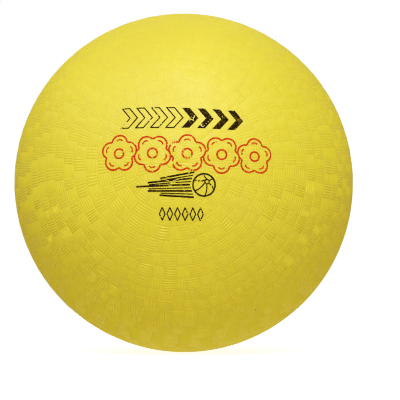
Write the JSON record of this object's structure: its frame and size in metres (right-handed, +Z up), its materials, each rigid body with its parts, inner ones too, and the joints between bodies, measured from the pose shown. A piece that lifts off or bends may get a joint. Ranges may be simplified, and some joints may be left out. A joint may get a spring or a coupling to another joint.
{
  "type": "playground rubber ball",
  "caption": "Round inflatable rubber playground ball with a moulded basket-weave cover, wound carcass, bladder and needle valve.",
  "frame": {"origin": "the ball's centre", "axes": "+Y runs along the mould axis out through the valve at the back, -Y out through the printed pole at the front, +Z is up"},
  "size_m": [0.216, 0.2158, 0.216],
  "materials": {
    "cover": "bright yellow moulded rubber, basket-weave relief, low sheen",
    "winding": "off-white wound nylon thread set in latex",
    "bladder": "smooth black butyl rubber",
    "valve_housing": "black rubber, fine matte",
    "valve_plug": "dark grey soft rubber, matte"
  },
  "bodies": {
    "root": {"cover": "cover", "nylon_winding": "winding", "bladder": "bladder", "valve_housing": "valve_housing", "valve_plug": "valve_plug"}
  },
  "joints": []
}
